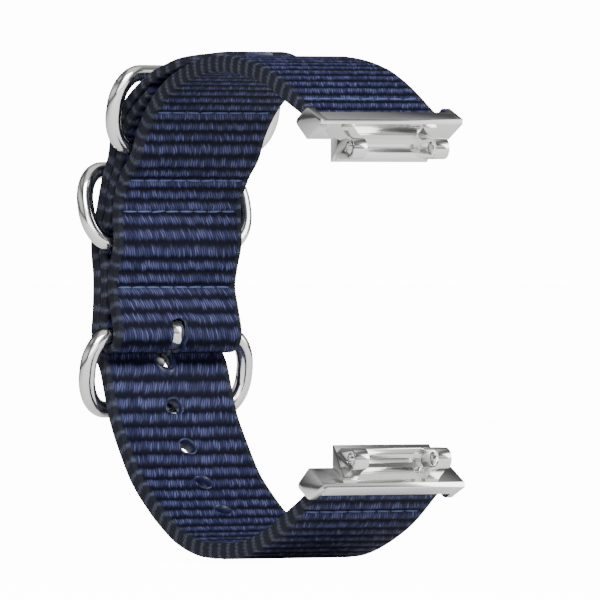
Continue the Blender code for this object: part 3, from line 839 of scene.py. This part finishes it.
def punch_places(sizes):
    """Middle, along and across directions, stretch and thickness of every hole."""
    stations = even_steps(smooth_curve(LONG_STRAP), PUNCH_STEP)
    normals = side_normals(stations)
    away = np.linalg.norm(stations[:, :2] - np.array(PUNCH_IN_USE), axis=1)
    in_use = int(np.argmin(away))
    step = np.linalg.norm(stations[1, :2] - stations[0, :2])
    places = []
    for number in range(-PUNCHES_ABOVE, PUNCHES_BELOW + 1):
        stretch = sizes.hole_drawn if number == 0 else 0.0
        travel = number * sizes.hole_pitch + sizes.hole_drawn - stretch
        index = in_use + int(round(travel / MM / step))
        row, normal = stations[index], normals[index]
        middle = place(0.0, row[0], row[1])
        across = (place(0.0, row[0] + normal[0], row[1] + normal[1]) - middle).normalized()
        along = across.cross(SIDEWAYS)
        places.append((middle, along, across, stretch, row[2] * MM))
    return places


def slit_tool():
    """The pointed slit in the fold that lets the tongue out."""
    outline = [(-SLIT_HALF, SLIT_SHOULDER), (0.0, SLIT_POINT), (SLIT_HALF, SLIT_SHOULDER),
               (SLIT_HALF, SLIT_FOOT), (-SLIT_HALF, SLIT_FOOT)]
    near, far = [[place(x, depth, height) for x, height in outline] for depth in SLIT_DEPTHS]
    return prism_tool(near, far)


def dress_webbing(mesh, sizes, colours):
    mesh.materials.append(webbing_material(sizes, colours))
    mesh.materials.append(selvedge_material(sizes, colours))
    mesh.materials.append(melted_material(colours))


def joined(name, meshes):
    """Several meshes with the same layers as one mesh."""
    bm = bmesh.new()
    for mesh in meshes:
        bm.from_mesh(mesh)
    result = bpy.data.meshes.new(name)
    bm.to_mesh(result)
    bm.free()
    return result


class BAND_OT_short_strap(bpy.types.Operator):
    """Weave the short strap with its fold, slit and loop"""
    bl_idname = "band.short_strap"
    bl_label = "Short strap"

    def execute(self, context):
        sizes, colours = context.scene.band_sizes, context.scene.band_colours
        pin = pin_point("upper_end_hinge")
        seams = [name for name in SEAMS if name != "seam_thread_lower_loop"]
        route = before_pin(short_strap_route(), pin)
        ribbon = ribbon_mesh("short_strap_weave", route, sizes, seams, sizes.short_rib_pitch)
        ribbon = cut(three_slots(ribbon), [slit_tool()])
        mesh = joined("short_strap_weave", [ribbon, loop_mesh("loop", pin, sizes)])
        dress_webbing(mesh, sizes, colours)
        add_object("short_strap_weave", mesh, BAND_BODY, ["short_strap"])
        return {"FINISHED"}


class BAND_OT_long_strap(bpy.types.Operator):
    """Weave the long strap with its sealed tip, holes and loop"""
    bl_idname = "band.long_strap"
    bl_label = "Long strap"

    def execute(self, context):
        sizes, colours = context.scene.band_sizes, context.scene.band_colours
        pin = pin_point("lower_end_hinge")
        route = before_pin(smooth_curve(LONG_STRAP), pin)
        seams = ["seam_thread_lower_loop"]
        ribbon = ribbon_mesh("long_strap_weave", route, sizes, seams, sizes.rib_pitch)
        tools = []
        for middle, along, across, stretch, thickness in punch_places(sizes):
            tools.append(punch_tool(middle, along, across, sizes.hole_radius, stretch, thickness))
        ribbon = cut(three_slots(ribbon), tools)
        mesh = joined("long_strap_weave", [ribbon, loop_mesh("loop", pin, sizes)])
        dress_webbing(mesh, sizes, colours)
        add_object("long_strap_weave", mesh, BAND_BODY, ["long_strap"])
        return {"FINISHED"}


# ---------------------------------------------------------------- geometry trees

RING_CORNER_STEPS = 20
WIRE_SIDES = 36
RIM_STEPS = 40
RIM_SIDES = 12
STITCH_SIDES = 12
STITCH_RINGS = 8
SEAM_LENGTH = 16.2          # a row of stitches across the webbing, in millimetres
STITCH_SINK = 0.13          # how far the stitches are pulled in below the middle of the ribs
STITCH_SWAY = 0.035         # unevenness of their direction, in radians


def geometry_tree(name, inputs):
    """An empty geometry tree with float and vector inputs, and its end nodes."""
    tree = bpy.data.node_groups.new(name, "GeometryNodeTree")
    for label, kind in inputs:
        tree.interface.new_socket(label, in_out="INPUT", socket_type=kind)
    tree.interface.new_socket("Geometry", in_out="OUTPUT", socket_type="NodeSocketGeometry")
    nodes = Nodes(tree)
    return nodes, nodes.add("NodeGroupInput"), nodes.add("NodeGroupOutput")


def end_tree(nodes, made, geometry, material):
    """Realise, shade smooth, set the material and hand the mesh out."""
    real = nodes.add("GeometryNodeRealizeInstances", {"Geometry": geometry})
    smooth = nodes.add("GeometryNodeSetShadeSmooth", {"Geometry": real.outputs[0]})
    dressed = nodes.add("GeometryNodeSetMaterial", {"Geometry": smooth.outputs[0], "Material": material})
    nodes.feed(made.inputs[0], dressed.outputs[0])


def circle_curve(nodes, radius, resolution):
    circle = nodes.add("GeometryNodeCurvePrimitiveCircle", {"Radius": radius, "Resolution": resolution})
    return circle.outputs[0]


def swept(nodes, path, profile):
    wire = nodes.add("GeometryNodeCurveToMesh", {"Curve": path, "Profile Curve": profile})
    return wire.outputs[0]


def named_vector(nodes, name):
    attribute = nodes.add("GeometryNodeInputNamedAttribute", data_type="FLOAT_VECTOR")
    attribute.inputs["Name"].default_value = name
    return attribute.outputs["Attribute"]


def on_points(nodes, points, piece, scale):
    """One piece on every point, turned by the point's own "turn"."""
    rotation = nodes.add("FunctionNodeEulerToRotation", {0: named_vector(nodes, "turn")})
    rows = nodes.add("GeometryNodeInstanceOnPoints", {"Points": points, "Instance": piece, "Scale": scale,
                                                      "Rotation": rotation.outputs[0]})
    return rows.outputs[0]


def ring_tree(material):
    """Round wire bent into a rectangle with rounded ends."""
    nodes, given, made = geometry_tree("wire_ring", [
        ("Width", "NodeSocketFloat"), ("Span", "NodeSocketFloat"), ("Corner", "NodeSocketFloat"),
        ("Rise", "NodeSocketFloat"), ("Wire", "NodeSocketFloat")])
    taller = nodes.math("DIVIDE", given.outputs["Rise"], given.outputs["Corner"])
    outline = nodes.add("GeometryNodeCurvePrimitiveQuadrilateral",
                        {"Width": given.outputs["Width"],
                         "Height": nodes.math("DIVIDE", given.outputs["Span"], taller)})
    rounded = nodes.add("GeometryNodeFilletCurve",
                        {"Curve": outline.outputs[0], "Radius": given.outputs["Corner"]})
    rounded.mode = "POLY"
    rounded.inputs["Count"].default_value = RING_CORNER_STEPS
    scale = nodes.add("ShaderNodeCombineXYZ", {0: 1.0, 1: taller, 2: 1.0})
    drawn = nodes.add("GeometryNodeTransform", {"Geometry": rounded.outputs[0], "Scale": scale.outputs[0]})
    profile = circle_curve(nodes, given.outputs["Wire"], WIRE_SIDES)
    end_tree(nodes, made, swept(nodes, drawn.outputs[0], profile), material)
    return nodes.tree


def stitch_tree(material):
    """A small rounded stitch on every point."""
    nodes, given, made = geometry_tree("stitch_rows", [
        ("Geometry", "NodeSocketGeometry"), ("Length", "NodeSocketFloat"), ("Radius", "NodeSocketFloat")])
    ball = nodes.add("GeometryNodeMeshUVSphere",
                     {"Segments": STITCH_SIDES, "Rings": STITCH_RINGS, "Radius": 1.0})
    size = nodes.add("ShaderNodeCombineXYZ")
    half = nodes.math("MULTIPLY", given.outputs["Length"], 0.5)
    nodes.feed(size.inputs[0], half)
    nodes.feed(size.inputs[1], given.outputs["Radius"])
    nodes.feed(size.inputs[2], given.outputs["Radius"])
    rows = on_points(nodes, given.outputs["Geometry"], ball.outputs[0], size.outputs[0])
    end_tree(nodes, made, rows, material)
    return nodes.tree


def rim_tree(material):
    """The melted wall of each hole: a ring of stretched round section on every point."""
    nodes, given, made = geometry_tree("melted_rims", [
        ("Geometry", "NodeSocketGeometry"), ("Hole", "NodeSocketFloat"), ("Bead", "NodeSocketFloat")])
    path = circle_curve(nodes, given.outputs["Hole"], RIM_STEPS)
    bead = swept(nodes, path, circle_curve(nodes, given.outputs["Bead"], RIM_SIDES))
    beads = on_points(nodes, given.outputs["Geometry"], bead, named_vector(nodes, "stretch"))
    end_tree(nodes, made, beads, material)
    return nodes.tree


def point_mesh(name, positions, **vectors):
    """Loose points with named vector attributes for a geometry tree."""
    mesh = bpy.data.meshes.new(name)
    mesh.from_pydata([tuple(point) for point in positions], [], [])
    for key, rows in vectors.items():
        layer = mesh.attributes.new(key, "FLOAT_VECTOR", "POINT")
        for item, row in zip(layer.data, rows):
            item.vector = row
    return mesh


class BAND_OT_stitches(bpy.types.Operator):
    """Sew the six seams, a row of stitches on either face"""
    bl_idname = "band.stitches"
    bl_label = "Stitches"

    def execute(self, context):
        sizes, colours = context.scene.band_sizes, context.scene.band_colours
        tree = stitch_tree(thread_material(colours))
        chance = np.random.default_rng(7)
        for name in SEAMS:
            first, second, through = seam_runs(name)
            positions = []
            turns = []
            pitch = SEAM_LENGTH / sizes.stitches
            for run, side in ((first, -1.0), (second, 1.0)):
                sunk = run + through * side * (sizes.rib_depth / MM * 0.5 + STITCH_SINK)
                for k in range(sizes.stitches):
                    x = (k + 0.5 - 0.5 * sizes.stitches) * pitch
                    positions.append(place(x, *sunk))
                    lean = float(chance.normal(0.0, STITCH_SWAY))
                    turns.append((0.0, lean, lean * 0.5))
            points = point_mesh(name, positions, turn=turns)
            values = {"Length": sizes.stitch_length, "Radius": sizes.thread_radius}
            mesh = run_nodes(tree, name + "_stitches", values, points)
            add_object(name + "_stitches", mesh, BAND_BODY, [name])
        return {"FINISHED"}


class BAND_OT_hole_rims(bpy.types.Operator):
    """Line the holes of the long strap with their melted walls"""
    bl_idname = "band.hole_rims"
    bl_label = "Hole rims"

    def execute(self, context):
        sizes, colours = context.scene.band_sizes, context.scene.band_colours
        bead_radius = sizes.hole_radius + RIM_OUTSET
        clear = bead_radius - sizes.rim_radius
        positions, turns, stretches = [], [], []
        for middle, along, _, stretch, thickness in punch_places(sizes):
            positions.append(middle)
            turns.append(tuple(facing(along).to_euler()))
            through = 0.5 * thickness / sizes.rim_radius
            if stretch:
                stretches.append((sizes.hole_radius / clear, (sizes.hole_radius + stretch) / clear, through))
            else:
                stretches.append((1.0, 1.0, through))
        points = point_mesh("hole_rims", positions, turn=turns, stretch=stretches)
        tree = rim_tree(melted_material(colours))
        values = {"Hole": bead_radius, "Bead": sizes.rim_radius}
        mesh = run_nodes(tree, "hole_rims", values, points)
        add_object("hole_rims", mesh, BAND_BODY)
        return {"FINISHED"}


# ---------------------------------------------------------------- metal

# Tongue, in millimetres of the side view: its eye round the bar, its shaft and its tip
TONGUE_THICKNESS = 0.8
TONGUE_WIDTH = 1.9
TONGUE_CORNER = 0.16
TONGUE_CORNER_STEPS = 3
EYE_SHIFT = (0.05, 0.25)    # centre of the eye against the bar
EYE_RADIUS = 1.75
EYE_START = 205.0           # degrees
EYE_TURN = 320.0
EYE_STEPS = 12
TONGUE_SHAFT = [(-3.35, -6.85), (-4.75, -8.25), (-5.55, -9.9), (-5.75, -12.0), (-5.72, -14.2)]
TONGUE_TIP = (-5.45, -15.6, 0.55, 1.5)
TONGUE_STEP = 0.2

# Polishing of the end pieces
MERGE_DISTANCE = 0.000002   # metres
FLAT_ANGLE = math.radians(1.0)
POLISH_ANGLE = math.radians(28.0)
SHARP_ANGLE = math.radians(35.0)
POLISH_SEGMENTS = 3


class BAND_OT_rings(bpy.types.Operator):
    """Bend the buckle ring and the two keeper rings"""
    bl_idname = "band.rings"
    bl_label = "Rings"

    def execute(self, context):
        sizes, colours = context.scene.band_sizes, context.scene.band_colours
        tree = ring_tree(polished_metal(colours))
        values = {"Width": sizes.ring_width, "Span": sizes.ring_span, "Corner": sizes.ring_corner,
                  "Rise": sizes.ring_rise, "Wire": sizes.wire_radius}
        for node, body, joint, slope in RINGS:
            bar = Vector(JOINTS[joint]["pos_m"])
            upward = Vector((0.0, -slope[0], slope[1])).normalized()
            middle = bar + upward * 0.5 * sizes.ring_span
            mesh = run_nodes(tree, node + "_wire", values)
            mesh.transform(Matrix.Translation(middle) @ facing(upward).to_4x4())
            add_object(node + "_wire", mesh, body, [node])
        return {"FINISHED"}


def tongue_route():
    """Side-view route of the tongue: round the bar, out of the slit and onto the ring."""
    bar = side_point(JOINTS["tongue_hinge"]["pos_m"])
    eye = (bar[0] + EYE_SHIFT[0], bar[1] + EYE_SHIFT[1])
    route = []
    for k in range(EYE_STEPS + 1):
        turn = math.radians(EYE_START - EYE_TURN * k / EYE_STEPS)
        route.append((eye[0] + EYE_RADIUS * math.cos(turn), eye[1] + EYE_RADIUS * math.sin(turn)))
    rows = [(*point, TONGUE_THICKNESS, TONGUE_WIDTH) for point in route + TONGUE_SHAFT]
    return even_steps(smooth_curve(rows + [TONGUE_TIP]), TONGUE_STEP)


class BAND_OT_tongue(bpy.types.Operator):
    """Bend the flat tongue of the buckle"""
    bl_idname = "band.tongue"
    bl_label = "Tongue"

    def execute(self, context):
        colours = context.scene.band_colours
        stations = tongue_route()
        normals = side_normals(stations)
        corner = TONGUE_CORNER
        bm = bmesh.new()
        rings = []
        for row, normal in zip(stations, normals):
            half_x, half_n = 0.5 * row[3], 0.5 * row[2]
            ring = []
            for sx, sn, start in ((1, 1, 0), (-1, 1, 90), (-1, -1, 180), (1, -1, 270)):
                for k in range(TONGUE_CORNER_STEPS + 1):
                    turn = math.radians(start + 90.0 * k / TONGUE_CORNER_STEPS)
                    x = sx * (half_x - corner) + corner * math.cos(turn)
                    offset = sn * (half_n - corner) + corner * math.sin(turn)
                    spot = place(x, row[0] + normal[0] * offset, row[1] + normal[1] * offset)
                    ring.append(bm.verts.new(spot))
            rings.append(ring)
        skin(bm, rings)
        mesh = closed_mesh(bm, "tongue_strip", 50.0)
        mesh.materials.append(polished_metal(colours))
        add_object("tongue_strip", mesh, "tongue", ["buckle_tongue"])
        return {"FINISHED"}


def softened_copy(node, name, width):
    """A copy of a CAD node with its loose triangles merged and its edges rounded."""
    bm = bmesh.new()
    bm.from_mesh(frame["nodes"][node].data)
    bmesh.ops.remove_doubles(bm, verts=bm.verts, dist=MERGE_DISTANCE)
    bmesh.ops.dissolve_limit(bm, angle_limit=FLAT_ANGLE, verts=bm.verts, edges=bm.edges)
    mesh = bpy.data.meshes.new(name)
    bm.to_mesh(mesh)
    bm.free()
    helper = helper_object(mesh)
    bevel = helper.modifiers.new("polish", "BEVEL")
    bevel.width = width
    bevel.segments = POLISH_SEGMENTS
    bevel.limit_method = "ANGLE"
    bevel.angle_limit = POLISH_ANGLE
    bevel.use_clamp_overlap = True
    bevel.harden_normals = False
    result = evaluated_mesh(helper, name)
    result.shade_smooth()
    result.set_sharp_from_angle(angle=SHARP_ANGLE)
    result.materials.clear()
    return result


class BAND_OT_end_pieces(bpy.types.Operator):
    """Polish the two end pieces that hold the tracker"""
    bl_idname = "band.end_pieces"
    bl_label = "End pieces"

    def execute(self, context):
        sizes, colours = context.scene.band_sizes, context.scene.band_colours
        for node, body in (("upper_adapter", UPPER_END_BODY), ("lower_adapter", LOWER_END_BODY)):
            mesh = softened_copy(node, node + "_polished", sizes.edge_round)
            mesh.materials.append(polished_metal(colours))
            add_object(node + "_polished", mesh, body, [node])
        return {"FINISHED"}


class BAND_OT_spring_bars(bpy.types.Operator):
    """Give the spring bars inside the webbing their turned steel"""
    bl_idname = "band.spring_bars"
    bl_label = "Spring bars"

    def execute(self, context):
        steel = pin_steel(context.scene.band_colours)
        for end in ("upper", "lower"):
            for part in ("pin_tube", "pin_spring", "pin_tip_left", "pin_tip_right"):
                node = frame["nodes"][f"{end}_{part}"]
                for slot in node.material_slots:
                    slot.material = steel
        return {"FINISHED"}


# ---------------------------------------------------------------- stage

VIEW_AZIMUTH = math.radians(330.0)
VIEW_ELEVATION = math.radians(0.4)
VIEW_DISTANCE = 1.60
VIEW_WIDTH = 0.0748         # width of the view at the object, in metres
VIEW_AIM = (3.03 * MM, 0.58 * MM)       # to the right of the band's middle, and above it

# What the camera sees of the tent and the floor, bright enough to come out white
TENT_WHITE = (14.0, 14.0, 14.0, 1.0)
FLOOR_WHITE = 13.0

# Greys that the metal mirrors, from straight below (0) to straight above (1)
TENT_GREYS = [(0.0, 0.30), (0.34, 0.60), (0.42, 0.25), (0.49, 0.06), (0.53, 0.12), (0.58, 0.85),
              (0.66, 1.0), (0.72, 0.55), (0.78, 0.12), (0.84, 0.80), (1.0, 1.0)]
BACKDROP = (0.05, 0.05, 0.055, 1.0)
DARK_STRIP = (0.04, 0.04, 0.045, 1.0)
SOFTBOX = (5.0, 5.0, 5.0, 1.0)
FLOOR_RADIUS = 6.0          # metres
FLOOR_GAP = 0.0006          # below the band


def camera_axes():
    """Unit vectors to the camera's right, up and back."""
    back = Vector((math.sin(VIEW_AZIMUTH) * math.cos(VIEW_ELEVATION),
                   -math.cos(VIEW_AZIMUTH) * math.cos(VIEW_ELEVATION), math.sin(VIEW_ELEVATION)))
    right = Vector((0.0, 0.0, 1.0)).cross(back).normalized()
    return right, back.cross(right), back


def add_camera():
    right, up, back = camera_axes()
    target = right * VIEW_AIM[0] + up * VIEW_AIM[1]
    data = bpy.data.cameras.new("camera")
    data.lens = data.sensor_width * VIEW_DISTANCE / VIEW_WIDTH
    data.clip_start = 0.01
    camera = bpy.data.objects.new("camera", data)
    bpy.context.collection.objects.link(camera)
    turn = Matrix((right, up, back)).transposed().to_4x4()
    camera.matrix_world = Matrix.Translation(target + back * VIEW_DISTANCE) @ turn
    bpy.context.scene.camera = camera


def add_light(name, position, size, energy):
    """A square soft light aimed at the middle of the band."""
    data = bpy.data.lights.new(name, "AREA")
    data.shape = "SQUARE"
    data.size = size
    data.energy = energy
    light = bpy.data.objects.new(name, data)
    bpy.context.collection.objects.link(light)
    light.location = position
    light.rotation_euler = (-Vector(position)).to_track_quat("-Z", "Y").to_euler()


def add_floor(colours):
    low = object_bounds()[0]
    bm = bmesh.new()
    bmesh.ops.create_circle(bm, cap_ends=True, segments=64, radius=FLOOR_RADIUS)
    mesh = bpy.data.meshes.new("floor")
    bm.to_mesh(mesh)
    bm.free()
    mesh.transform(Matrix.Translation((0.0, 0.0, low[2] - FLOOR_GAP)))
    material, nodes, shader = new_material("studio_floor")
    shader.inputs["Base Color"].default_value = rgba(colours.floor)
    shader.inputs["Roughness"].default_value = 0.9
    shader.inputs["Specular IOR Level"].default_value = 0.1
    seen = nodes.add("ShaderNodeLightPath")
    glow = nodes.math("MULTIPLY", seen.outputs["Is Camera Ray"], FLOOR_WHITE)
    nodes.feed(shader.inputs["Emission Strength"], glow)
    shader.inputs["Emission Color"].default_value = (1.0, 1.0, 1.0, 1.0)
    mesh.materials.append(material)
    floor = bpy.data.objects.new("floor", mesh)
    bpy.context.collection.objects.link(floor)
    floor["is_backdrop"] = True


def tent_ramp(nodes, height):
    """The tent's greys by height."""
    ramp = nodes.add("ShaderNodeValToRGB", {0: height})
    stops = ramp.color_ramp.elements
    for index, (position, grey) in enumerate(TENT_GREYS):
        if index == 0:
            stop = stops[0]
        elif index == len(TENT_GREYS) - 1:
            stop = stops[-1]
        else:
            stop = stops.new(position)
        stop.position = position
        stop.color = (grey, grey, grey, 1.0)
    return ramp.outputs["Color"]


def add_world():
    """A pale tent with dark strips to the sides, a dim backdrop and a softbox round the camera."""
    world = bpy.data.worlds.new("tent")
    world.use_nodes = True
    bpy.context.scene.world = world
    nodes = Nodes(world.node_tree)
    background = world.node_tree.nodes["Background"]
    right, _, back = camera_axes()
    spot = nodes.add("ShaderNodeTexCoord").outputs["Generated"]
    split = nodes.add("ShaderNodeSeparateXYZ", {0: spot})
    tent = tent_ramp(nodes, nodes.math("MULTIPLY_ADD", split.outputs["Z"], 0.5, 0.5))
    away = nodes.dot(spot, tuple(-back))
    tent = nodes.blend(nodes.math("MULTIPLY", nodes.smoothstep(away, -0.15, 0.85), 0.8), tent, BACKDROP)
    aside = nodes.math("ABSOLUTE", nodes.dot(spot, tuple(right)))
    beyond = nodes.math("SUBTRACT", 1.0, nodes.smoothstep(aside, 0.60, 0.78))
    strip = nodes.math("MULTIPLY", nodes.smoothstep(aside, 0.30, 0.48), beyond)
    tent = nodes.blend(nodes.math("MULTIPLY", strip, 0.8), tent, DARK_STRIP)
    behind_camera = nodes.math("MULTIPLY", away, -1.0)
    tent = nodes.blend(nodes.smoothstep(behind_camera, 0.90, 0.96), tent, SOFTBOX)
    seen = nodes.add("ShaderNodeLightPath")
    nodes.feed(background.inputs["Color"], nodes.blend(seen.outputs["Is Camera Ray"], tent, TENT_WHITE))
    background.inputs["Strength"].default_value = 1.0


class BAND_OT_stage(bpy.types.Operator):
    """Set up the camera, the pale floor and the soft studio light"""
    bl_idname = "band.stage"
    bl_label = "Stage"

    def execute(self, context):
        add_camera()
        add_floor(context.scene.band_colours)
        add_world()
        add_light("key", (-0.25, -0.35, 0.35), 0.25, 4.0)
        add_light("fill", (0.35, -0.25, 0.15), 0.30, 1.5)
        return {"FINISHED"}


# ---------------------------------------------------------------- add-on

class BAND_PT_panel(bpy.types.Panel):
    """Lists the steps that build the band"""
    bl_label = "Woven tracker band"
    bl_idname = "BAND_PT_panel"
    bl_space_type = "VIEW_3D"
    bl_region_type = "UI"
    bl_category = "Band"

    def draw(self, context):
        for step in STEPS:
            self.layout.operator(step.bl_idname)
        for group in (context.scene.band_sizes, context.scene.band_colours):
            for name in group.__annotations__:
                self.layout.prop(group, name)


STEPS = (BAND_OT_stage, BAND_OT_short_strap, BAND_OT_long_strap, BAND_OT_stitches, BAND_OT_hole_rims,
         BAND_OT_rings, BAND_OT_tongue, BAND_OT_end_pieces, BAND_OT_spring_bars)
CLASSES = (BandSizes, BandColours) + STEPS + (BAND_PT_panel,)


def register():
    for item in CLASSES:
        bpy.utils.register_class(item)
    bpy.types.Scene.band_sizes = PointerProperty(type=BandSizes)
    bpy.types.Scene.band_colours = PointerProperty(type=BandColours)


def unregister():
    del bpy.types.Scene.band_sizes
    del bpy.types.Scene.band_colours
    for item in reversed(CLASSES):
        bpy.utils.unregister_class(item)


def main():
    register()
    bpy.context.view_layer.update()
    for step in STEPS:
        group, name = step.bl_idname.split(".")
        getattr(getattr(bpy.ops, group), name)()


if __name__ == "__main__":
    main()
